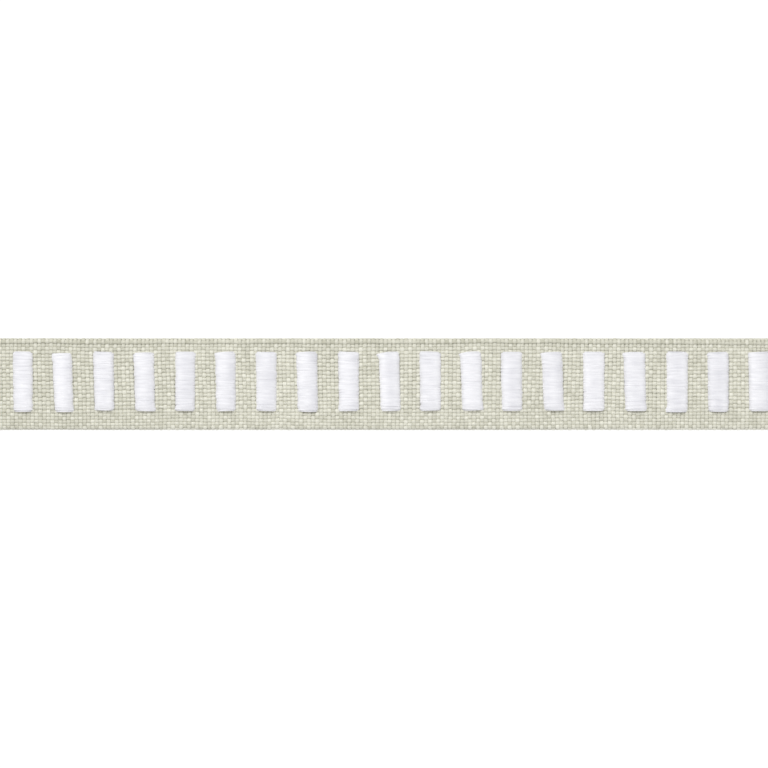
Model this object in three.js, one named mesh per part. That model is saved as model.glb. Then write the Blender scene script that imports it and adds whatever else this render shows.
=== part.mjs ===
// Tape trim: a flat length of linen tape with satin-stitched bars across its face.
// X runs along the tape, Y across it and Z up. The tape lies on its underside at Z = 0,
// with the origin at the middle of that underside. Sizes are in millimetres.
import * as THREE from "three";

// Pattern along the tape: one bar to each repeat, and a cut halfway between two bars.
const BAR_PITCH = 11.32;

// Linen tape: one strip of cloth with both long edges turned under.
const TAPE_WIDTH = 25.4;
const CLOTH_THICKNESS = 1.0;
const FOLD_GAP = 0.3;
const TURN_UNDER = 7.0;
const FOLD_SEGMENTS = 12;
const LINEN_HEIGHT = 2 * CLOTH_THICKNESS + FOLD_GAP;

// Dent that the turn leaves along the face, behind the fold on the +Y side.
// inset is measured in from that fold, depth down from the face.
const FOLD_DENT = [
  { inset: 1.25, depth: 0.0 },
  { inset: 1.4, depth: 0.09 },
  { inset: 1.55, depth: 0.12 },
  { inset: 1.7, depth: 0.09 },
  { inset: 1.9, depth: 0.0 },
];

// Satin-stitched bar: a low pad of thread that lies across the tape.
const BAR_LENGTH = 16.2;
const BAR_CENTRE_Y = 0.72;
const BAR_RISE = 0.75;
const BAR_CLEARANCE = 0.3;
const BAR_RING_POINTS = 9;
const BAR_FULLNESS = 2.6;
const BAR_CORNER = { near: 1.4, far: 0.9 };
const BAR_END_ROLL = 1.1;
const BAR_END_RISE = 0.4;
const BAR_END_STATIONS = [0, 0.12, 0.4, 0.8, 1.4];

// Each bar in order from -X to +X.
// shift moves it off its even place, width is its size along the tape,
// and lean is how far its far end lies towards -X of its near end.
const BARS = [
  { shift: 0.2, width: 5.1, lean: 0.3 },
  { shift: 0.3, width: 5.1, lean: 0.15 },
  { shift: 0.1, width: 5.05, lean: 0.65 },
  { shift: 0.1, width: 5.3, lean: 0.3 },
  { shift: 0.0, width: 5.3, lean: 0.4 },
  { shift: 0.0, width: 5.15, lean: 0.0 },
  { shift: -0.15, width: 5.2, lean: 0.25 },
  { shift: -0.2, width: 5.35, lean: 0.15 },
  { shift: -0.2, width: 5.45, lean: 0.35 },
  { shift: -0.05, width: 5.3, lean: 0.2 },
  { shift: 0.0, width: 5.3, lean: 0.5 },
  { shift: -0.1, width: 5.5, lean: 0.2 },
  { shift: 0.0, width: 5.5, lean: 0.5 },
  { shift: -0.2, width: 5.4, lean: 0.2 },
  { shift: -0.15, width: 5.35, lean: 0.6 },
  { shift: -0.1, width: 5.5, lean: 0.05 },
  { shift: -0.05, width: 5.6, lean: 0.45 },
  { shift: 0.3, width: 5.5, lean: 0.0 },
  { shift: 0.35, width: 5.45, lean: 0.1 },
  { shift: 0.4, width: 5.5, lean: 0.2 },
  { shift: 0.3, width: 5.5, lean: 0.3 },
];
const CUT_LENGTH = BARS.length * BAR_PITCH;

const LINEN = new THREE.MeshStandardMaterial({ color: 0xd2d2c1, roughness: 0.95, metalness: 0 });
const SATIN = new THREE.MeshStandardMaterial({ color: 0xf2f2f6, roughness: 0.45, metalness: 0 });

// Section of the folded cloth, seen along X: the face, two round folds and two turned edges.
function foldedSection() {
  const edge = TAPE_WIDTH / 2;
  const outerRadius = LINEN_HEIGHT / 2;
  const innerRadius = FOLD_GAP / 2;
  const foldY = edge - outerRadius;
  const hemEndY = edge - TURN_UNDER;
  const quarter = Math.PI / 2;
  const section = new THREE.Shape();
  section.moveTo(hemEndY, 0);
  section.lineTo(foldY, 0);
  section.absarc(foldY, outerRadius, outerRadius, -quarter, quarter, false);
  for (const { inset, depth } of FOLD_DENT) {
    section.lineTo(edge - inset, LINEN_HEIGHT - depth);
  }
  section.absarc(-foldY, outerRadius, outerRadius, quarter, 3 * quarter, false);
  section.lineTo(-hemEndY, 0);
  section.lineTo(-hemEndY, CLOTH_THICKNESS);
  section.absarc(-foldY, outerRadius, innerRadius, 3 * quarter, quarter, true);
  section.absarc(foldY, outerRadius, innerRadius, quarter, -quarter, true);
  section.lineTo(hemEndY, CLOTH_THICKNESS);
  section.closePath();
  return section;
}

function linenTape() {
  const geometry = new THREE.ExtrudeGeometry(foldedSection(), {
    depth: CUT_LENGTH,
    bevelEnabled: false,
    curveSegments: FOLD_SEGMENTS,
  });
  geometry.translate(0, 0, -CUT_LENGTH / 2);
  const alongX = new THREE.Vector3(1, 0, 0);
  const acrossY = new THREE.Vector3(0, 1, 0);
  const upZ = new THREE.Vector3(0, 0, 1);
  geometry.applyMatrix4(new THREE.Matrix4().makeBasis(acrossY, upZ, alongX));
  const tape = new THREE.Mesh(geometry, LINEN);
  tape.name = "linen_tape";
  return tape;
}

// A closed solid over a list of rings with equal point counts, in order along the solid.
function loft(rings) {
  const size = rings[0].length;
  const lastStart = (rings.length - 1) * size;
  const indices = [];
  for (let row = 0; row < rings.length - 1; row += 1) {
    for (let column = 0; column < size; column += 1) {
      const a = row * size + column;
      const b = row * size + ((column + 1) % size);
      indices.push(a, b, b + size, a, b + size, a + size);
    }
  }
  for (let column = 1; column < size - 1; column += 1) {
    indices.push(0, column + 1, column);
    indices.push(lastStart, lastStart + column, lastStart + column + 1);
  }
  const geometry = new THREE.BufferGeometry().setFromPoints(rings.flat());
  geometry.setIndex(indices);
  geometry.computeVertexNormals();
  return geometry;
}

// Places along a bar where its section is set: close together at both rounded ends.
function barStations() {
  const nearEnd = BAR_END_STATIONS;
  const farEnd = BAR_END_STATIONS.map((distance) => BAR_LENGTH - distance).reverse();
  return [...nearEnd, BAR_LENGTH / 2, ...farEnd];
}

// How much a round corner narrows one side of the bar, at a distance from its end.
function cornerInset(distance, radius) {
  const left = Math.max(radius - distance, 0);
  return radius - Math.sqrt(radius * radius - left * left);
}

// One section of a bar: flat beneath, with a full rounded top.
function barRing(station, bar) {
  const fromNear = station;
  const fromFar = BAR_LENGTH - station;
  const inset = cornerInset(fromNear, BAR_CORNER.near) + cornerInset(fromFar, BAR_CORNER.far);
  const halfWidth = bar.width / 2 - inset;
  const roll = Math.max(1 - Math.min(fromNear, fromFar) / BAR_END_ROLL, 0);
  const rise = BAR_RISE * (BAR_END_RISE + (1 - BAR_END_RISE) * Math.sqrt(1 - roll * roll));
  const middleX = bar.lean * (0.5 - station / BAR_LENGTH);
  const power = 2 / BAR_FULLNESS;
  const ring = [];
  for (let step = 0; step < BAR_RING_POINTS; step += 1) {
    const angle = (Math.PI * step) / (BAR_RING_POINTS - 1);
    const across = Math.sign(Math.cos(angle)) * Math.abs(Math.cos(angle)) ** power;
    const up = step === BAR_RING_POINTS - 1 ? 0 : Math.sin(angle) ** power;
    ring.push(new THREE.Vector3(middleX - halfWidth * across, station - BAR_LENGTH / 2, rise * up));
  }
  return ring;
}

function satinBar(bar, index) {
  const rings = barStations().map((station) => barRing(station, bar));
  const mesh = new THREE.Mesh(loft(rings), SATIN);
  const evenX = (index + 0.5) * BAR_PITCH - CUT_LENGTH / 2;
  mesh.position.set(evenX + bar.shift, BAR_CENTRE_Y, LINEN_HEIGHT + BAR_CLEARANCE);
  mesh.name = `satin_bar_${String(index + 1).padStart(2, "0")}`;
  return mesh;
}

const tapeTrim = new THREE.Group();
tapeTrim.add(linenTape());
for (const [index, bar] of BARS.entries()) {
  tapeTrim.add(satinBar(bar, index));
}

export default tapeTrim;
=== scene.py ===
"""Tape trim: linen woven from single yarns, turned under at both edges, with satin-stitched bars.

X runs along the tape, Y across it and Z out of its face. Near means towards -Y and far towards +Y,
which is the upper edge in the camera's view. Lengths are in metres, unless a name says mm.
"""

import logging
import math
from dataclasses import dataclass, field, fields
from enum import Enum
from typing import Any, Iterable

import bmesh
import bpy
import numpy as np
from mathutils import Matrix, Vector


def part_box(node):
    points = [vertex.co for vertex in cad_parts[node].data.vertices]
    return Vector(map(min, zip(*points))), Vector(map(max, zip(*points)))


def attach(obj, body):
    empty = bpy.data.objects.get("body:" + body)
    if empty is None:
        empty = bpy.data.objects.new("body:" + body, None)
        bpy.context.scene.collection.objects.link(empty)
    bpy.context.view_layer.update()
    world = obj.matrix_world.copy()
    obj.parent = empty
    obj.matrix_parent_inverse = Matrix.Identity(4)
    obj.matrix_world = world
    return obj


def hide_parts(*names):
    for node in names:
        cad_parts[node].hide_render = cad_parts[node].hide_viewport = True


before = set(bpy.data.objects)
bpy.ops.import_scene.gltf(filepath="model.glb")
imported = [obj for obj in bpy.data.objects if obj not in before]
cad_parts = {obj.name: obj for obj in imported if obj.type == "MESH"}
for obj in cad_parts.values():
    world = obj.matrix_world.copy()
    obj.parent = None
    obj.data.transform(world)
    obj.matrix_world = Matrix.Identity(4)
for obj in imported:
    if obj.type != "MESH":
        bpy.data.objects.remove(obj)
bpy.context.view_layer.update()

MM = 0.001
BAKE_MAP = "OFBake"
THREAD_MAP = "Thread"
TONE = "tone"

log = logging.getLogger("tape_trim")

Array = np.ndarray
Colour = tuple[float, float, float]
Number = "float | Value"


class Slot(Enum):
    """Finishes that the record names."""

    LINEN = "linen"
    THREAD = "satin_thread"


class Way(Enum):
    """Which way a yarn of the linen runs."""

    LENGTHWISE = "lengthwise"
    CROSSWISE = "crosswise"


class Zone(Enum):
    """Parts of the folded cloth, across it."""

    STITCHED = "among the bars"
    PLAIN = "beside the bars"
    FAR_FOLD = "round the fold nearer to the bars"
    NEAR_FOLD = "round the other fold"
    HEM = "turned under"


class Value:
    """A number that varies over a surface, so that shader maths reads as Python."""

    def __init__(self, shader: "Shader", socket: bpy.types.NodeSocket) -> None:
        """Wraps one output socket of a shader."""
        self.shader = shader
        self.socket = socket

    def maths(self, operation: str, *terms: Number) -> "Value":
        """Adds one Math node.

        Args:
            operation: the node's operation.
            terms: its inputs in order, as numbers or other values.

        Returns:
            The node's result.
        """
        node = self.shader.node("ShaderNodeMath", {"operation": operation}, dict(enumerate(terms)))
        return Value(self.shader, node.outputs[0])

    def __add__(self, other: Number) -> "Value":
        """Sum."""
        return self.maths("ADD", self, other)

    def __radd__(self, other: Number) -> "Value":
        """Sum with a number on the left."""
        return self.maths("ADD", other, self)

    def __sub__(self, other: Number) -> "Value":
        """Difference."""
        return self.maths("SUBTRACT", self, other)

    def __rsub__(self, other: Number) -> "Value":
        """Difference from a number on the left."""
        return self.maths("SUBTRACT", other, self)

    def __mul__(self, other: Number) -> "Value":
        """Product."""
        return self.maths("MULTIPLY", self, other)

    def __rmul__(self, other: Number) -> "Value":
        """Product with a number on the left."""
        return self.maths("MULTIPLY", other, self)

    def sine(self) -> "Value":
        """Sine of an angle in radians."""
        return self.maths("SINE", self)


class Shader:
    """One material and its nodes."""

    def __init__(self, name: str) -> None:
        """Makes an empty material.

        Args:
            name: the material's name.
        """
        self.material = bpy.data.materials.new(name)
        self.material.use_nodes = True
        self.tree = self.material.node_tree
        self.tree.nodes.clear()

    def node(self, kind: str, settings: dict[str, Any], sockets: dict[Any, Any]) -> bpy.types.Node:
        """Adds any node.

        Args:
            kind: the node's type.
            settings: its properties, set first. The key stops fills a colour ramp.
            sockets: its inputs by name or number, each a constant, a Value or an output socket.

        Returns:
            The new node.
        """
        node = self.tree.nodes.new(kind)
        for name, setting in settings.items():
            if name != "stops":
                setattr(node, name, setting)
                continue
            for stop, (place, colour) in zip(node.color_ramp.elements, setting):
                stop.position = place
                stop.color = (*colour, 1.0)
        for name, item in sockets.items():
            source = item.socket if isinstance(item, Value) else item
            if isinstance(source, bpy.types.NodeSocket):
                self.tree.links.new(source, node.inputs[name])
            else:
                node.inputs[name].default_value = source
        return node

    def attribute(self, name: str) -> Value:
        """A number that is kept on the mesh."""
        node = self.node("ShaderNodeAttribute", {"attribute_name": name}, {})
        return Value(self, node.outputs["Fac"])

    def thread_places(self) -> tuple[Value, Value]:
        """Reads the map in real lengths.

        Returns:
            How far along a thread in millimetres, and how far round it in turns.
        """
        mapped = self.node("ShaderNodeUVMap", {"uv_map": THREAD_MAP}, {})
        split = self.node("ShaderNodeSeparateXYZ", {}, {0: mapped.outputs[0]})
        return Value(self, split.outputs["X"]), Value(self, split.outputs["Y"])

    def specks(self, size: float, detail: float) -> Value:
        """Soft cloudy noise from 0 to 1.

        Args:
            size: how wide a cloud is.
            detail: how much finer noise is laid over it.

        Returns:
            The noise.
        """
        places = self.node("ShaderNodeTexCoord", {}, {})
        noise = self.node(
            "ShaderNodeTexNoise",
            {"noise_dimensions": "3D"},
            {"Vector": places.outputs["Object"], "Scale": 1.0 / size, "Detail": detail},
        )
        return Value(self, noise.outputs[0])

    def ramp(self, factor: Value, stops: list[tuple[float, Colour]]) -> bpy.types.NodeSocket:
        """A colour that follows a number."""
        node = self.node("ShaderNodeValToRGB", {"stops": stops}, {0: factor})
        return node.outputs["Color"]

    def bump(self, height: Value, depth: float) -> bpy.types.NodeSocket:
        """Fine relief.

        Args:
            height: the relief from 0 to 1.
            depth: how deep a whole step of it is.

        Returns:
            The bent normal.
        """
        node = self.node("ShaderNodeBump", {}, {"Height": height, "Distance": depth, "Strength": 1.0})
        return node.outputs["Normal"]

    def surface(self, sockets: dict[str, Any]) -> bpy.types.Material:
        """Ends the material in one principled shader.

        Args:
            sockets: the shader's inputs by name.

        Returns:
            The finished material.
        """
        shader = self.node("ShaderNodeBsdfPrincipled", {}, sockets)
        self.node("ShaderNodeOutputMaterial", {}, {"Surface": shader.outputs[0]})
        return self.material


@dataclass(frozen=True)
class LinenFinish:
    """Matt natural flax, uneven from yarn to yarn."""

    name: str = "linen_yarn"
    dark: Colour = (0.38, 0.373, 0.28)
    light: Colour = (0.883, 0.872, 0.772)
    speck_size: float = 0.35 * MM
    speck_detail: float = 3.0
    speck_share: float = 0.2
    twist_length_mm: float = 0.9
    twist_turns: float = 2.0
    twist_share: float = 0.3
    fibre_depth: float = 0.035 * MM
    roughness: float = 0.85
    specular: float = 0.25
    sheen: float = 0.15
    sheen_roughness: float = 0.6

    def material(self) -> bpy.types.Material:
        """Builds the material.

        Returns:
            The material of the yarns and of the base cloth.
        """
        shader = Shader(self.name)
        along, around = shader.thread_places()
        specks = shader.specks(self.speck_size, self.speck_detail)
        twist = ((along * (1.0 / self.twist_length_mm) + around * self.twist_turns) * math.tau).sine()
        tone = shader.attribute(TONE) + (specks - 0.5) * self.speck_share
        colour = shader.ramp(tone, [(0.0, self.dark), (1.0, self.light)])
        normal = shader.bump(twist * self.twist_share + specks, self.fibre_depth)
        return shader.surface({
            "Base Color": colour,
            "Roughness": self.roughness,
            "Specular IOR Level": self.specular,
            "Sheen Weight": self.sheen,
            "Sheen Roughness": self.sheen_roughness,
            "Normal": normal,
        })


@dataclass(frozen=True)
class SatinFinish:
    """Smooth white embroidery thread with a soft sheen."""

    name: str = "satin_thread"
    dark: Colour = (0.69, 0.688, 0.73)
    light: Colour = (0.888, 0.883, 0.91)
    filament_turns: float = 9.0
    filament_slant: float = 0.8
    filament_depth: float = 0.006 * MM
    roughness: float = 0.42
    specular: float = 0.4
    sheen: float = 0.2
    sheen_roughness: float = 0.4

    def material(self) -> bpy.types.Material:
        """Builds the material.

        Returns:
            The material of the stitches.
        """
        shader = Shader(self.name)
        along, around = shader.thread_places()
        filaments = ((around * self.filament_turns + along * self.filament_slant) * math.tau).sine()
        colour = shader.ramp(shader.attribute(TONE), [(0.0, self.dark), (1.0, self.light)])
        normal = shader.bump(filaments * 0.5 + 0.5, self.filament_depth)
        return shader.surface({
            "Base Color": colour,
            "Roughness": self.roughness,
            "Specular IOR Level": self.specular,
            "Sheen Weight": self.sheen,
            "Sheen Roughness": self.sheen_roughness,
            "Normal": normal,
        })


@dataclass(frozen=True)
class FloorFinish:
    """White opal sheet, lit from below so that nothing throws a shadow on it."""

    name: str = "floor_opal"
    grey: float = 0.12
    glow: float = 0.94
    roughness: float = 0.9
    specular: float = 0.1

    def material(self) -> bpy.types.Material:
        """Builds the material.

        Returns:
            The material of the floor.
        """
        shader = Shader(self.name)
        return shader.surface({
            "Base Color": (self.grey, self.grey, self.grey, 1.0),
            "Roughness": self.roughness,
            "Specular IOR Level": self.specular,
            "Emission Color": (1.0, 1.0, 1.0, 1.0),
            "Emission Strength": self.glow,
        })


def eased(share: Array) -> Array:
    """A smooth step from 0 to 1 for shares from 0 to 1, flat outside them."""
    share = np.clip(share, 0.0, 1.0)
    return share * share * (3.0 - 2.0 * share)


@dataclass(frozen=True)
class Play:
    """Smooth random changes along a row: their size, and how many places lie between two knots."""

    size: float
    step: float

    def draw(self, draws: np.random.Generator, length: int, count: int = 1) -> Array:
        """Draws the changes for a few rows at once.

        Args:
            draws: the source of random numbers.
            length: how many places a row has.
            count: how many rows there are.

        Returns:
            The changes, shaped (count, length).
        """
        knots = draws.uniform(-1.0, 1.0, (count, int(length / self.step) + 3))
        places = np.arange(length) / self.step
        low = places.astype(int)
        share = eased(places - low)
        return self.size * (knots[:, low] * (1 - share) + knots[:, low + 1] * share)


class Drift:
    """A smooth field of small random shifts over the cloth, the same each run."""

    def __init__(
        self, seed: int, size: float, cell: tuple[float, float], reach: tuple[float, float]
    ) -> None:
        """Draws the field's knots.

        Args:
            seed: starts the random draws.
            size: the largest shift.
            cell: how far apart the knots are, along the tape and across it.
            reach: half of the field's size, along the tape and across it.
        """
        self.size = size
        self.cell = cell
        self.reach = reach
        counts = [int(2 * r / c) + 3 for r, c in zip(reach, cell)]
        self.knots = np.random.default_rng(seed).uniform(-1.0, 1.0, counts)
        # Places stop just inside the last cell, so that each has a knot beyond it.
        self.last = [count - 2.001 for count in counts]

    def at(self, x: Array, s: Array) -> Array:
        """Reads the field.

        Args:
            x: places along the tape.
            s: places across the cloth.

        Returns:
            The shifts at these places.
        """
        x, s = np.broadcast_arrays(x, s)
        rows = np.clip((x + self.reach[0]) / self.cell[0], 0.0, self.last[0])
        columns = np.clip((s + self.reach[1]) / self.cell[1], 0.0, self.last[1])
        row, column = rows.astype(int), columns.astype(int)
        up, over = eased(rows - row), eased(columns - column)
        near = self.knots[row, column] * (1 - over) + self.knots[row, column + 1] * over
        far = self.knots[row + 1, column] * (1 - over) + self.knots[row + 1, column + 1] * over
        return self.size * (near * (1 - up) + far * up)


@dataclass
class Strands:
    """Round strips with closed ends, many in one mesh: yarns, threads or stitches.

    shelf is the part of the bake map's height that they fill.
    """

    name: str
    count: int
    stations: int
    sides: int
    shelf: tuple[float, float] = (0.0, 1.0)
    band_margin: float = 0.08
    end_margin: float = 0.002
    merge_reach: float = 0.0001 * MM

    def blank(self) -> bpy.types.Mesh:
        """Lays out flat strips with a map over each, one strip for each strand.

        Returns:
            The mesh with all the strips.
        """
        strips = bmesh.new()
        strips.loops.layers.uv.new(BAKE_MAP)
        for _ in range(self.count):
            bmesh.ops.create_grid(
                strips, x_segments=self.stations - 1, y_segments=self.sides, size=0.5, calc_uvs=True
            )
        mesh = bpy.data.meshes.new(self.name)
        strips.to_mesh(mesh)
        strips.free()
        return mesh

    def grid(self) -> tuple[Array, Array]:
        """Places on one strand.

        Returns:
            The angles round it and the shares along it, shaped to fit together.
        """
        angle = (math.tau * (np.arange(self.sides + 1) % self.sides) / self.sides).reshape(1, -1, 1)
        share = np.linspace(0.0, 1.0, self.stations).reshape(1, 1, -1)
        return angle, share

    def build(self, places: Array, tone: Array, length_mm: float) -> bpy.types.Object:
        """Rolls the strips into closed strands.

        Args:
            places: the points, shaped (count, sides + 1, stations, 3).
            tone: how light each point's colour is, shaped to fit places without its last axis.
            length_mm: how long a strand is.

        Returns:
            The finished object, at the origin.
        """
        mesh = self.blank()
        mesh.vertices.foreach_set("co", places.astype(np.float32).ravel())
        self.lay_maps(mesh, length_mm)
        tones = mesh.attributes.new(TONE, "FLOAT", "POINT")
        levels = np.broadcast_to(tone, places.shape[:3])
        tones.data.foreach_set("value", levels.astype(np.float32).ravel())
        rolled = bmesh.new()
        rolled.from_mesh(mesh)
        bmesh.ops.remove_doubles(rolled, verts=rolled.verts, dist=self.merge_reach)
        bmesh.ops.holes_fill(rolled, edges=[e for e in rolled.edges if e.is_boundary], sides=self.sides)
        bmesh.ops.recalc_face_normals(rolled, faces=rolled.faces)
        for face in rolled.faces:
            face.smooth = True
        rolled.to_mesh(mesh)
        rolled.free()
        piece = bpy.data.objects.new(self.name, mesh)
        bpy.context.scene.collection.objects.link(piece)
        return piece

    def lay_maps(self, mesh: bpy.types.Mesh, length_mm: float) -> None:
        """Gives each strand its own band of the bake map, and a map in real lengths along it.

        Args:
            mesh: the flat strips.
            length_mm: how long a strand is.
        """
        loops = len(mesh.loops)
        strip = np.zeros(loops * 2, np.float32)
        mesh.uv_layers[BAKE_MAP].data.foreach_get("uv", strip)
        along, around = strip.reshape(-1, 2).T
        number = np.repeat(np.arange(self.count), loops // self.count)
        band = (number + self.band_margin + (1 - 2 * self.band_margin) * around) / self.count
        low, high = self.shelf
        baked = np.stack(
            [self.end_margin + (1 - 2 * self.end_margin) * along, low + (high - low) * band], axis=1
        )
        mesh.uv_layers[BAKE_MAP].data.foreach_set("uv", baked.astype(np.float32).ravel())
        real = mesh.uv_layers.new(name=THREAD_MAP)
        measured = np.stack([along * length_mm, around], axis=1)
        real.data.foreach_set("uv", measured.astype(np.float32).ravel())


@dataclass(frozen=True)
class Pad:
    """Where one stitched bar presses on the cloth: its limits along the tape and across it."""

    left: float
    right: float
    near: float
    far: float


@dataclass
class FoldedLinen:
    """One strip of linen: its face, a round fold at each long edge, and the turned-under hems.

    A place on it is x along the tape and s across the cloth, with s = 0 in the middle of the face.
    """

    low: Vector
    high: Vector
    pads: list[Pad]
    fold_gap: float = 0.3 * MM
    turn_under: float = 7.0 * MM
    row_places_mm: tuple[float, ...] = (-15.0, -13.6, -10.5, -7.0, -6.2, 5.0, 7.6, 10.6, 13.6, 15.0)
    row_pitches_mm: tuple[float, ...] = (1.05, 0.86, 0.87, 0.94, 1.075, 1.075, 1.02, 0.95, 0.86, 1.05)
    column_pitch: float = 1.112 * MM
    first_row: float = 0.2 * MM
    raw_edge: float = 0.3 * MM
    dent_inset: float = 1.65 * MM
    dent_depth: float = 0.07 * MM
    dent_width: float = 0.5 * MM
    stitched_middle: float = 0.72 * MM
    stitched_half: float = 7.6 * MM
    stitched_fade: float = 1.6 * MM
    far_fold_lead: float = 0.8 * MM
    near_fold_lag: float = 0.25 * MM
    fold_fade: float = 0.7 * MM
    pad_sink: float = 0.03 * MM
    pad_end_fade: float = 1.0 * MM
    pad_side_fade: float = 0.6 * MM
    pull_depth: float = 0.05 * MM
    pull_width: float = 0.35 * MM
    pull_reach: float = 0.3 * MM
    calm_edge: float = 4.0 * MM
    drift_margin: float = 2.0 * MM
    stitch_bed: float = 0.1 * MM
    back_swell: float = 0.02 * MM

    def __post_init__(self) -> None:
        """Works out the folds and where stitches lie, and draws the cloth's unevenness."""
        self.height = self.high.z - self.low.z
        self.cloth = (self.height - self.fold_gap) / 2
        self.half_length = (self.high.x - self.low.x) / 2
        self.edge = (self.high.y - self.low.y) / 2
        self.fold_start = self.edge - self.height / 2
        self.fold_radius = (self.height - self.cloth) / 2
        self.fold_length = math.pi * self.fold_radius
        self.half_width = self.fold_start + self.fold_length + self.turn_under - self.height / 2
        self.stitch_top = self.high.z - self.stitch_bed
        self.stitch_back = self.high.z - self.cloth - self.back_swell
        reach = (self.half_length + self.drift_margin, self.half_width + self.drift_margin)
        self.wander = Drift(seed=11, size=0.34 * MM, cell=(22 * MM, 13 * MM), reach=reach)
        self.ripple = Drift(seed=12, size=0.12 * MM, cell=(5 * MM, 3 * MM), reach=reach)
        self.sway = Drift(seed=13, size=0.35 * MM, cell=(34 * MM, 15 * MM), reach=reach)

    def rows(self) -> Array:
        """Spaces the lengthwise yarns, closer together towards the folds.

        Returns:
            Their places across the cloth, in order.
        """
        places: list[float] = [self.first_row]
        for step in (1.0, -1.0):
            place = self.first_row
            while abs(place) < self.half_width:
                pitch = np.interp(place / MM, self.row_places_mm, self.row_pitches_mm)
                place += step * float(pitch) * MM
                places.append(place)
        inside = [place for place in places if abs(place) < self.half_width - self.raw_edge]
        return np.array(sorted(inside))

    def columns(self) -> Array:
        """Places along the tape of the crosswise yarns."""
        count = int(2 * self.half_length / self.column_pitch)
        return (np.arange(count) - (count - 1) / 2) * self.column_pitch

    def zones(self, s: Array) -> dict[Zone, Array]:
        """Tells the zones of the cloth apart.

        Args:
            s: places across the cloth.

        Returns:
            How far each place belongs to each zone, as shares that sum to 1.
        """
        beside = eased((np.abs(s - self.stitched_middle) - self.stitched_half) / self.stitched_fade)
        hem = eased(2 * (np.abs(s) - self.fold_start) / self.fold_length - 1)
        start = self.fold_start + np.where(s > 0, -self.far_fold_lead, self.near_fold_lag)
        fold = np.maximum(eased((np.abs(s) - start) / self.fold_fade) - hem, 0.0)
        return {
            Zone.STITCHED: 1 - beside,
            Zone.PLAIN: beside - fold - hem,
            Zone.FAR_FOLD: fold * (s > 0),
            Zone.NEAR_FOLD: fold * (s < 0),
            Zone.HEM: hem,
        }

    def moved(self, x: Array, s: Array) -> tuple[Array, Array]:
        """Moves places on an even cloth to where the uneven weave takes them.

        Args:
            x: places along the tape.
            s: places across the cloth.

        Returns:
            The moved x and s.
        """
        inner = eased((self.half_width - np.abs(s)) / self.calm_edge)
        wander = self.wander.at(x, s) + self.ripple.at(x, s)
        return x + self.sway.at(x, s), s + wander * inner

    def sunk(self, x: Array, s: Array) -> Array:
        """Finds how far the stitched bars and the turn of the far fold press the cloth down.

        Args:
            x: places along the tape.
            s: places across the cloth.

        Returns:
            The depths at these places.
        """
        dent = (s - (self.edge - self.dent_inset)) / self.dent_width
        depth = self.dent_depth * np.exp(-dent * dent)
        for pad in self.pads:
            along = eased((s - pad.near) / self.pad_end_fade + 0.5)
            along = along * eased((pad.far - s) / self.pad_end_fade + 0.5)
            across = eased((x - pad.left) / self.pad_side_fade + 0.5)
            across = across * eased((pad.right - x) / self.pad_side_fade + 0.5)
            pull = np.exp(-(((s - pad.near + self.pull_reach) / self.pull_width) ** 2))
            depth = depth + across * (self.pad_sink * along + self.pull_depth * pull)
        return depth

    def place(self, x: Array, s: Array, rise: Array) -> Array:
        """Takes places on the cloth round its folds.

        Args:
            x: places along the tape.
            s: places across the cloth.
            rise: heights out of the cloth's middle, towards its right side.

        Returns:
            The points in the tape's frame, with a last axis of 3.
        """
        x, s, rise = np.broadcast_arrays(x, s, rise)
        side = np.sign(s)
        beyond = np.abs(s) - self.fold_start
        turn = np.clip(beyond / self.fold_radius, 0.0, math.pi)
        under = np.maximum(beyond - self.fold_length, 0.0)
        flat = np.minimum(np.abs(s), self.fold_start)
        y = side * (flat + (self.fold_radius + rise) * np.sin(turn) - under)
        z = self.low.z + self.height / 2 + (self.fold_radius + rise) * np.cos(turn)
        return np.stack([x, y, z], axis=-1)


@dataclass(frozen=True)
class YarnLie:
    """How a yarn lies in one zone: half its width and thickness, bend and lift in mm, and its tone."""

    half_width: float
    half_thick: float
    crimp: float
    lift: float
    tone: float


@dataclass(frozen=True)
class YarnKind:
    """One of the two yarns of the linen.

    stray is how far it leaves its line, in millimetres, and the crown share how much painted light its
    crowns get and painted shade the dips between them.
    """

    stray: float
    painted_relief_shade: float
    lies: dict[Zone, YarnLie]

    def lie(self, zones: dict[Zone, Array]) -> tuple[Array, Array, Array, Array, Array]:
        """Mixes how the yarn lies in the zones.

        Args:
            zones: the shares of each zone.

        Returns:
            Half width, half thickness, bend and lift in metres, and tone.
        """
        half_width, half_thick, crimp, lift, tone = (
            sum(share * getattr(self.lies[zone], size.name) for zone, share in zones.items())
            for size in fields(YarnLie)
        )
        return half_width * MM, half_thick * MM, crimp * MM, lift * MM, tone


# The last number of each lie is the yarn's tone. Round the far fold it is lower, as painted shade, and
# round the near fold higher, as painted light.
ROW_YARN = YarnKind(0.04, 0.08, {
    Zone.STITCHED: YarnLie(0.42, 0.25, 0.24, 0.0, 0.54),
    Zone.PLAIN: YarnLie(0.42, 0.2, 0.19, 0.0, 0.46),
    Zone.FAR_FOLD: YarnLie(0.45, 0.2, 0.07, 0.34, 0.3),
    Zone.NEAR_FOLD: YarnLie(0.44, 0.2, 0.1, 0.25, 0.62),
    Zone.HEM: YarnLie(0.44, 0.22, 0.18, 0.08, 0.5),
})
COLUMN_YARN = YarnKind(0.06, 0.15, {
    Zone.STITCHED: YarnLie(0.63, 0.22, 0.22, 0.0, 0.52),
    Zone.PLAIN: YarnLie(0.62, 0.19, 0.21, 0.0, 0.53),
    Zone.FAR_FOLD: YarnLie(0.53, 0.19, 0.09, 0.38, 0.42),
    Zone.NEAR_FOLD: YarnLie(0.56, 0.19, 0.13, 0.27, 0.78),
    Zone.HEM: YarnLie(0.5, 0.2, 0.18, 0.08, 0.5),
})


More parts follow.
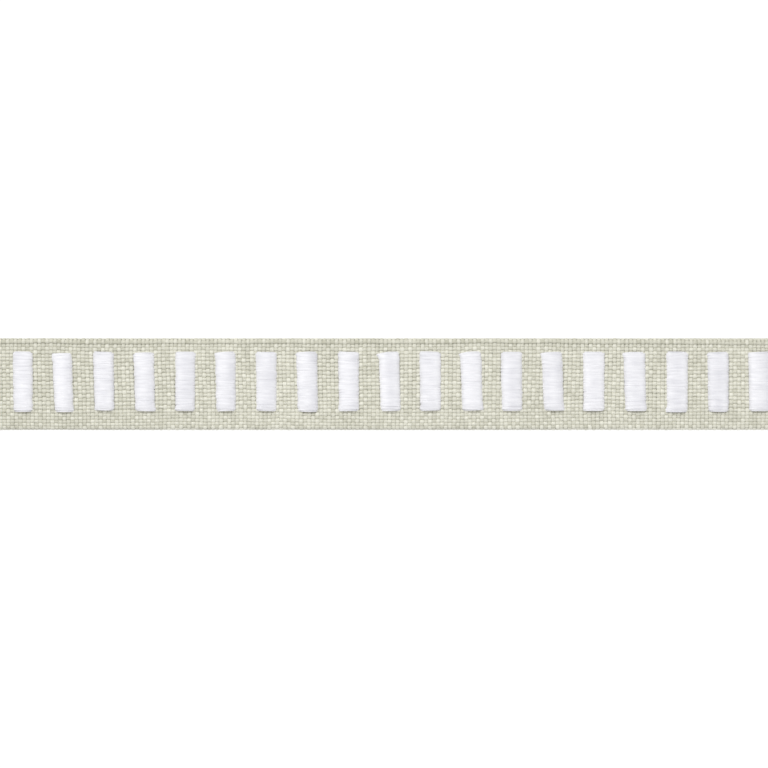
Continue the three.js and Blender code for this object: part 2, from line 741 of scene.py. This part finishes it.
@dataclass
class YarnSet:
    """The linen's yarns that run one way, or a share of them."""

    linen: FoldedLinen
    way: Way
    name: str
    numbers: Array
    seed: int
    kind: YarnKind
    steps_to_wave: int = 8
    sides: int = 6
    end_play: float = 0.25 * MM
    slubs: tuple[Play, ...] = (Play(0.072, 26), Play(0.048, 9))
    stray_step: float = 22
    tone_play: float = 0.03
    tone_changes: tuple[Play, ...] = (Play(0.04, 22), Play(0.16, 5))
    left_shade: float = 0.05
    left_start: float = 40 * MM
    left_fade: float = 50 * MM

    def changes(self, plays: Iterable[Play], draws: np.random.Generator, stations: int) -> Array:
        """Sum of smooth random changes along each yarn of the set."""
        return sum(play.draw(draws, stations, len(self.numbers)) for play in plays)[:, None, :]

    def build(self) -> bpy.types.Object:
        """Weaves the yarns.

        Returns:
            One object with every yarn of the set.
        """
        rows, columns = self.linen.rows(), self.linen.columns()
        lengthwise = self.way is Way.LENGTHWISE
        own, crossed = (rows, columns) if lengthwise else (columns, rows)
        reach = self.linen.half_length if lengthwise else self.linen.half_width
        stations = int(len(crossed) / 2 * self.steps_to_wave)
        count = len(self.numbers)
        strands = Strands(self.name, count, stations, self.sides)
        angle, share = strands.grid()
        draws = np.random.default_rng(self.seed)
        ends = draws.uniform(-1.0, 1.0, (2, count, 1, 1)) * self.end_play
        along = (reach - ends[0]) * (share - 1) + (reach - ends[1]) * share
        thick = 1 + self.changes(self.slubs, draws, stations)
        stray = self.changes([Play(self.kind.stray * MM, self.stray_step)], draws, stations)
        centre = own[self.numbers].reshape(-1, 1, 1) + stray
        crossing = np.interp(along, crossed, np.arange(len(crossed)))
        turn = math.pi * (crossing + self.numbers.reshape(-1, 1, 1))
        wave = np.cos(turn) if lengthwise else -np.cos(turn)
        x, s = (along, centre) if lengthwise else (centre, along)
        half_width, half_thick, crimp, lift, tone = self.kind.lie(self.linen.zones(s))
        x, s = self.linen.moved(x, s)
        aside = half_width * thick * np.cos(angle)
        up = lift + crimp * wave + half_thick * thick * np.sin(angle)
        up = up - self.linen.sunk(x, s)
        tone = tone + draws.uniform(-1.0, 1.0, (count, 1, 1)) * self.tone_play
        # Painted light on the crowns and painted shade in the dips, from the wave, then random tone
        # changes along the yarn.
        tone = tone + self.kind.painted_relief_shade * wave + self.changes(self.tone_changes, draws, stations)
        tone = tone - self.left_shade * eased((-x - self.left_start) / self.left_fade)
        if lengthwise:
            s = s + aside
        else:
            x = x + aside
        return strands.build(self.linen.place(x, s, up), tone, 2 * reach / MM)


@dataclass
class LinenTape:
    """The ground of the trim: a thin base cloth and the yarns woven over it."""

    linen: FoldedLinen
    finish: bpy.types.Material
    base_thick: float = 0.08 * MM
    base_margin: float = 0.4 * MM
    painted_gap_shade: float = 0.2
    base_sinks_mm: dict[Zone, float] = field(default_factory=lambda: {
        Zone.STITCHED: 0.12,
        Zone.PLAIN: 0.03,
        Zone.FAR_FOLD: -0.12,
        Zone.NEAR_FOLD: -0.1,
        Zone.HEM: 0.05,
    })
    base_columns: int = 60
    base_rows: int = 96
    row_seed: int = 100
    column_seed: int = 200
    sets_each_way: int = 2

    def base(self) -> bpy.types.Object:
        """Makes the base cloth, which closes the gaps between the yarns; its dark tone is painted
        shade.

        Returns:
            The cloth, with its thickness as a modifier.
        """
        cloth = bmesh.new()
        cloth.loops.layers.uv.new(BAKE_MAP)
        bmesh.ops.create_grid(
            cloth, x_segments=self.base_columns, y_segments=self.base_rows, size=0.5, calc_uvs=True
        )
        mesh = bpy.data.meshes.new("linen_cloth")
        cloth.to_mesh(mesh)
        cloth.free()
        flat = np.zeros(len(mesh.vertices) * 3)
        mesh.vertices.foreach_get("co", flat)
        flat = flat.reshape(-1, 3)
        x = flat[:, 0] * 2 * (self.linen.half_length - self.base_margin)
        s = flat[:, 1] * 2 * (self.linen.half_width - self.base_margin)
        sink = sum(share * self.base_sinks_mm[zone] for zone, share in self.linen.zones(s).items())
        rise = -self.linen.sunk(x, s) - sink * MM - self.base_thick
        mesh.vertices.foreach_set("co", self.linen.place(x, s, rise).astype(np.float32).ravel())
        # The base cloth's low tone is painted shade in the gaps between the yarns.
        tones = mesh.attributes.new(TONE, "FLOAT", "POINT")
        tones.data.foreach_set("value", np.full(len(flat), self.painted_gap_shade, np.float32))
        mesh.uv_layers.new(name=THREAD_MAP)
        piece = bpy.data.objects.new("linen_cloth", mesh)
        bpy.context.scene.collection.objects.link(piece)
        wall = piece.modifiers.new("thickness", "SOLIDIFY")
        wall.thickness = self.base_thick
        wall.offset = 1.0
        wall.use_even_offset = True
        return piece

    def yarns(self) -> list[bpy.types.Object]:
        """Weaves all the yarns, in sets small enough to export whole.

        Returns:
            One object for each set.
        """
        pieces = []
        plans = (
            (Way.LENGTHWISE, self.linen.rows(), ROW_YARN, self.row_seed),
            (Way.CROSSWISE, self.linen.columns(), COLUMN_YARN, self.column_seed),
        )
        for way, places, kind, seed in plans:
            sets = np.array_split(np.arange(len(places)), self.sets_each_way)
            for share, numbers in enumerate(sets, start=1):
                name = f"linen_{way.value}_{share}"
                pieces.append(YarnSet(self.linen, way, name, numbers, seed + share, kind).build())
        return pieces

    def build(self, floor: bpy.types.Object) -> None:
        """Args:
            floor: what the tape lies on; not used.
        """
        base = self.base()
        yarns = self.yarns()
        for piece in (base, *yarns):
            piece.data.materials.clear()
            piece.data.materials.append(self.finish)
            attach(piece, "root")
            report(piece)
        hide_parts("linen_tape")
        flat = (2 * self.linen.half_width, 2 * self.linen.half_length)


@dataclass(frozen=True)
class BarLook:
    """What is particular to one bar, in millimetres.

    lean is how far its far end lies to the left of its near end. short is how much it ends early at the
    near end, and far_short at the far end. far_left is how far its first stitches reach out at the far
    end, near_left and near_right how far its last ones do at the near end.
    """

    lean: float
    short: float = 0.0
    far_short: float = 0.0
    far_left: float = 0.0
    near_left: float = 0.0
    near_right: float = 0.0


BAR_LOOKS = (
    BarLook(0.3, 0.1, far_left=0.3),
    BarLook(0.15, -0.1),
    BarLook(0.65, -0.1, 0.35, far_left=0.3, near_right=0.3),
    BarLook(0.3, 0.3, near_left=0.15),
    BarLook(0.4, 0.1, 0.2, far_left=0.2, near_right=0.4),
    BarLook(0.0, 0.1, near_left=0.3),
    BarLook(0.25, 0.1, far_left=0.4),
    BarLook(0.15, 0.15, far_left=0.15, near_left=0.2),
    BarLook(0.35, -0.1, far_left=0.4),
    BarLook(0.2, 0.1, near_left=0.4),
    BarLook(0.5, 0.15, far_left=0.9),
    BarLook(0.2, 0.25, near_left=0.2),
    BarLook(0.5, 0.3, far_left=0.7, near_right=0.5),
    BarLook(0.2, 0.25, near_left=0.1),
    BarLook(0.6, 0.3, far_left=0.4, near_right=0.5),
    BarLook(0.05, 0.1, near_left=0.2),
    BarLook(0.45, 0.15, far_left=0.5, near_right=0.4),
    BarLook(0.0, -0.2, near_left=0.7),
    BarLook(0.1, -0.1, far_left=0.4),
    BarLook(0.2, 0.1, far_left=0.3),
    BarLook(0.3, 0.1, near_left=0.3),
)


@dataclass
class SatinBar:
    """One bar of satin stitch: threads side by side over the cloth, and their backs under it.

    tucks are the heights, as shares of the end thread's, of the lower threads that close each end.
    """

    node: str
    number: int
    look: BarLook
    low: Vector
    high: Vector
    cloth_top: float
    cloth_back: float
    first_seed: int = 500
    thread_pitch: float = 0.36 * MM
    half_width: float = 0.25 * MM
    half_thick: float = 0.11 * MM
    stations: int = 13
    sides: int = 6
    sink: float = 0.35 * MM
    drop: float = 0.15 * MM
    fullness: float = 2.15
    near_corner: float = 0.4 * MM
    far_corner: float = 0.4 * MM
    near_roll: float = 2.0 * MM
    near_rise: float = 0.6
    far_roll: float = 0.9 * MM
    far_rise: float = 0.4
    near_fade: float = 0.8 * MM
    far_fade: float = 0.6 * MM
    end_inset: float = 0.06 * MM
    far_reach: float = 0.08 * MM
    far_drag: float = 0.8 * MM
    left_widening: float = 0.04 * MM
    right_widening: float = 0.26 * MM
    taper: float = 0.07 * MM
    smile: float = 0.03 * MM
    tucks: tuple[float, ...] = (0.3, 0.65)
    tuck_inset: float = 0.05 * MM
    ragged_play: float = 0.08 * MM
    height_play: float = 0.02 * MM
    row_play: float = 0.04 * MM
    ragged: Play = Play(0.08 * MM, 3)
    slope: Play = Play(0.11 * MM, 7)
    bow: Play = Play(0.08 * MM, 5)
    back_ratio: float = 0.7
    back_sides: int = 4
    back_share: float = 0.86
    back_gap: float = 0.02 * MM
    back_rise: float = 0.3 * MM
    back_bend: int = 6
    back_slope: Play = Play(0.1 * MM, 6)
    face_shelf: float = 0.7
    tone: float = 0.72
    tone_change: Play = Play(0.05, 4)
    sheen_bands: tuple[float, ...] = (0.1, 0.3, 0.5, 0.7, 0.9)
    sheen_band_width: float = 0.13
    sheen_band_tone: float = 0.22
    sheen_band_play: float = 0.2
    sheen_band_change: Play = Play(0.14, 5)

    def rows(self, count: int) -> Array:
        """Spaces threads evenly along the bar.

        Args:
            count: how many threads there are.

        Returns:
            Where each thread lies, shaped (count, 1, 1).
        """
        near = self.low.y + self.look.short * MM + self.end_inset
        far = self.high.y - self.half_width / 2 + self.far_reach - self.look.far_short * MM
        return np.linspace(near, far, count).reshape(-1, 1, 1)

    def axis(self, middle: Array) -> Array:
        """The bar's leaning middle line, at places along it."""
        share = (middle - self.low.y) / (self.high.y - self.low.y)
        return (self.low.x + self.high.x) / 2 + self.look.lean * MM * (0.5 - share)

    def half_span(self) -> float:
        """Half of the bar's width, without its lean."""
        return (self.high.x - self.low.x - self.look.lean * MM) / 2

    def rolled(self, distance: Array, reach: float, rise: float) -> Array:
        """Share of the bar's full height at a distance from a rounded end that starts at this rise."""
        left = np.clip(1 - distance / reach, 0.0, 1.0)
        return rise + (1 - rise) * (1 - left * left)

    def corner(self, distance: Array, radius: float) -> Array:
        """How much a round corner narrows one side, at a distance from the bar's end."""
        left = np.clip(radius - distance, 0.0, radius)
        return radius - np.sqrt(radius * radius - left * left)

    def changes(self, play: Play, draws: np.random.Generator, count: int) -> Array:
        """Smooth random changes from thread to thread."""
        return play.draw(draws, count).reshape(-1, 1, 1)

    def limits(self, middle: Array, rows: Array, draws: np.random.Generator) -> tuple[Array, Array]:
        """Finds where the threads on the right side go into the cloth.

        Args:
            middle: where each thread lies along the bar.
            rows: the same without the tucked ones.
            draws: the source of random numbers.

        Returns:
            Their left and their right limits.
        """
        count = len(middle)
        from_near, from_far = middle - rows[0], rows[-1] - middle
        near, far = np.exp(-from_near / self.near_fade), np.exp(-from_far / self.far_fade)
        corner = self.corner(from_near, self.near_corner) + self.corner(from_far, self.far_corner)
        taper = self.taper * (from_near - from_far) / (self.high.y - self.low.y)
        half = self.half_span() - corner + taper
        ragged = draws.uniform(-1.0, 1.0, (2, count, 1, 1)) * self.ragged_play
        ragged = ragged + self.ragged.draw(draws, count, 2).reshape(2, -1, 1, 1)
        out_left = MM * (self.look.far_left * far + self.look.near_left * near)
        out_right = MM * self.look.near_right * near
        left = self.axis(middle) - half - self.left_widening + ragged[0] - out_left
        right = self.axis(middle) + half + self.right_widening + ragged[1] + out_right
        return left, right

    def face(self, strands: Strands, draws: np.random.Generator) -> Array:
        """Lays the threads on the right side, with lower ones tucked in to close both ends.

        Args:
            strands: the mesh that they are for.
            draws: the source of random numbers.

        Returns:
            Their points.
        """
        angle, share = strands.grid()
        low_rows = np.array(self.tucks).reshape(-1, 1, 1)
        rows = self.rows(strands.count - 2 * len(self.tucks))
        inward = self.tuck_inset * (1 - low_rows)
        middle = np.concatenate([rows[0] + inward, rows, rows[-1] - inward])
        raised = np.concatenate([low_rows, np.ones_like(rows), low_rows])
        from_near, from_far = middle - rows[0], rows[-1] - middle
        near, far = np.exp(-from_near / self.near_fade), np.exp(-from_far / self.far_fade)
        left, right = self.limits(middle, rows, draws)
        place = 0.5 - 0.5 * np.cos(math.pi * share)
        across = np.abs(2 * place - 1)
        x = left + (right - left) * place
        swell = self.rolled(from_near, self.near_roll, self.near_rise)
        swell = swell * self.rolled(from_far, self.far_roll, self.far_rise)
        height = (self.high.z - self.drop - self.half_thick - self.cloth_top) * swell * raised
        height = height + draws.uniform(-1.0, 1.0, (strands.count, 1, 1)) * self.height_play
        arch = (1 - across ** self.fullness) ** (1 / self.fullness)
        z = self.cloth_top - self.sink + (height + self.sink) * arch
        y = middle + self.smile * near * across ** 2
        y = y - self.far_drag * min(self.look.far_left, 1.0) * far * (1 - place) ** 3
        slope = self.changes(self.slope, draws, strands.count)
        bow = self.changes(self.bow, draws, strands.count)
        y = y + slope * (2 * place - 1) + bow * (1 - across ** 2)
        y = y + draws.uniform(-1.0, 1.0, (strands.count, 1, 1)) * self.row_play
        return self.rounded(x, y, z, angle)

    def back(self, strands: Strands, draws: np.random.Generator) -> Array:
        """Lays the threads on the wrong side, flat against the cloth.

        Args:
            strands: the mesh that they are for.
            draws: the source of random numbers.

        Returns:
            Their points.
        """
        angle, share = strands.grid()
        middle = self.rows(strands.count)
        half = self.back_share * self.half_span()
        ragged = draws.uniform(-1.0, 1.0, (2, strands.count, 1, 1)) * self.ragged_play
        place = 0.5 - 0.5 * np.cos(math.pi * share)
        across = np.abs(2 * place - 1)
        x = self.axis(middle) - half + ragged[0] + (2 * half + ragged[1] - ragged[0]) * place
        rise = self.back_rise * across ** self.back_bend
        z = self.cloth_back - self.half_thick - self.back_gap + rise
        y = middle + self.changes(self.back_slope, draws, strands.count) * (2 * place - 1)
        return self.rounded(x, y, z, angle)

    def rounded(self, x: Array, y: Array, z: Array, angle: Array) -> Array:
        """Gives threads a flattened round skin.

        Args:
            x: places along the tape of the threads' middle lines.
            y: their places across it.
            z: their heights.
            angle: angles round a thread.

        Returns:
            The skin's points, shaped (count, sides + 1, stations, 3).
        """
        x, y, z = np.broadcast_arrays(x, y, z)
        along, up = np.gradient(x, axis=2), np.gradient(z, axis=2)
        length = np.sqrt(along * along + up * up)
        lift = self.half_thick * np.sin(angle)
        side = self.half_width * np.cos(angle)
        return np.stack([x - lift * up / length, y + side, z + lift * along / length], axis=-1)

    def tones(self, count: int, draws: np.random.Generator) -> Array:
        """Shades the threads with soft lighter and darker bands along them, uneven from thread to
        thread: painted sheen mixed with uneven tone.

        Args:
            count: how many threads there are.
            draws: the source of random numbers.

        Returns:
            How light they are, shaped (count, 1, stations).
        """
        along = np.linspace(0.0, 1.0, self.stations).reshape(1, 1, -1)
        tone = self.tone + self.changes(self.tone_change, draws, count)
        # Each band is partly painted sheen and partly uneven tone: one change for the whole bar and one
        # for each thread.
        for share in self.sheen_bands:
            patch = np.exp(-((along - share) / self.sheen_band_width) ** 2)
            tone = tone + draws.uniform(-1.0, 1.0) * self.sheen_band_tone * patch
            tone = tone + draws.uniform(-1.0, 1.0, (count, 1, 1)) * self.sheen_band_play * patch
            tone = tone + self.changes(self.sheen_band_change, draws, count) * patch
        return tone

    def build(self, finish: bpy.types.Material) -> None:
        """Stitches the bar and lets it stand for its solid.

        Args:
            finish: the thread's material.
        """
        draws = np.random.default_rng(self.first_seed + self.number)
        threads = int(round((self.high.y - self.low.y) / self.thread_pitch)) + 2 * len(self.tucks)
        backs = int(round(threads * self.back_ratio))
        back_stations = self.stations // 2 + 1
        face_part, back_part = (0.0, self.face_shelf), (self.face_shelf, 1.0)
        face = Strands(self.node + "_stitches", threads, self.stations, self.sides, face_part)
        back = Strands(self.node + "_backs", backs, back_stations, self.back_sides, back_part)
        face_places = self.face(face, draws)
        back_places = self.back(back, draws)
        tones = self.tones(threads + backs, draws)
        width_mm = (self.high.x - self.low.x) / MM
        piece = face.build(face_places, tones[:threads], width_mm)
        under = back.build(back_places, tones[threads:, :, ::2], width_mm)
        joined = bmesh.new()
        joined.from_mesh(piece.data)
        joined.from_mesh(under.data)
        joined.to_mesh(piece.data)
        joined.free()
        bpy.data.objects.remove(under)
        piece.data.materials.append(finish)
        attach(piece, "root")
        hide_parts(self.node)
        report(piece)


@dataclass(frozen=True)
class Lamp:
    """One square soft lamp that faces the tape, with its size in metres and its power in watts."""

    name: str
    place: tuple[float, float, float]
    size: float
    power: float
    colour: Colour

    def hang(self) -> None:
        """Puts the lamp into the scene."""
        data = bpy.data.lights.new(self.name, "AREA")
        data.shape = "SQUARE"
        data.size = self.size
        data.energy = self.power
        data.color = self.colour
        lamp = bpy.data.objects.new(self.name, data)
        lamp.location = self.place
        lamp.rotation_euler = (-Vector(self.place)).to_track_quat("-Z", "Y").to_euler()
        bpy.context.scene.collection.objects.link(lamp)


KEY_LAMP = Lamp("key", (-0.65, 1.0, 1.15), 1.0, 19.0, (1.0, 1.0, 1.0))
FILL_LAMP = Lamp("fill", (1.0, -0.8, 1.2), 1.4, 8.0, (0.97, 0.98, 1.0))


@dataclass
class Studio:
    """Camera square on above the tape, a white floor and soft light from the upper left."""

    photo_width: float = 212.5 * MM
    photo_middle: tuple[float, float] = (-1.5 * MM, 0.07 * MM)
    lens: float = 100.0
    sensor: float = 36.0
    floor_size: float = 10.0
    surround: float = 0.52

    def camera(self, face_height: float) -> None:
        """Puts the camera where the photograph was taken from.

        Args:
            face_height: how high the face of the tape lies.
        """
        data = bpy.data.cameras.new("camera")
        data.lens = self.lens
        data.sensor_width = self.sensor
        camera = bpy.data.objects.new("camera", data)
        distance = self.photo_width * self.lens / self.sensor
        camera.location = (*self.photo_middle, face_height + distance)
        bpy.context.scene.collection.objects.link(camera)
        bpy.context.scene.camera = camera

    def floor(self) -> bpy.types.Object:
        """Lays a wide white sheet under the tape.

        Returns:
            The floor.
        """
        sheet = bmesh.new()
        bmesh.ops.create_grid(sheet, x_segments=1, y_segments=1, size=self.floor_size / 2)
        mesh = bpy.data.meshes.new("floor")
        sheet.to_mesh(mesh)
        sheet.free()
        mesh.materials.append(FloorFinish().material())
        floor = bpy.data.objects.new("floor", mesh)
        bpy.context.scene.collection.objects.link(floor)
        return floor

    def light(self) -> None:
        """Key light from the upper left, a weak fill from the right and an even white surround."""
        KEY_LAMP.hang()
        FILL_LAMP.hang()
        world = bpy.data.worlds.new("surround")
        world.use_nodes = True
        background = world.node_tree.nodes["Background"]
        background.inputs["Color"].default_value = (1.0, 1.0, 1.0, 1.0)
        background.inputs["Strength"].default_value = self.surround
        bpy.context.scene.world = world
        bpy.context.scene.view_settings.view_transform = "Standard"


def report(piece: bpy.types.Object) -> None:
    """Logs a piece and how many triangles it has."""
    triangles = sum(len(face.vertices) - 2 for face in piece.data.polygons)
    log.info("%s: %d triangles", piece.name, triangles)


def main() -> None:
    """Builds the whole trim and its studio."""
    logging.basicConfig(level=logging.INFO, format="%(message)s")
    low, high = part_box("linen_tape")
    studio = Studio()
    studio.camera(high.z)
    studio.light()
    floor = studio.floor()
    bars = {name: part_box(name) for name in sorted(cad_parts) if name.startswith("satin_bar")}
    pads = [Pad(least.x, most.x, least.y, most.y) for least, most in bars.values()]
    linen = FoldedLinen(low, high, pads)
    LinenTape(linen, LinenFinish().material()).build(floor)
    thread = SatinFinish().material()
    for number, (name, look) in enumerate(zip(bars, BAR_LOOKS, strict=True), start=1):
        SatinBar(name, number, look, *bars[name], linen.stitch_top, linen.stitch_back).build(thread)


if __name__ == "__main__":
    main()
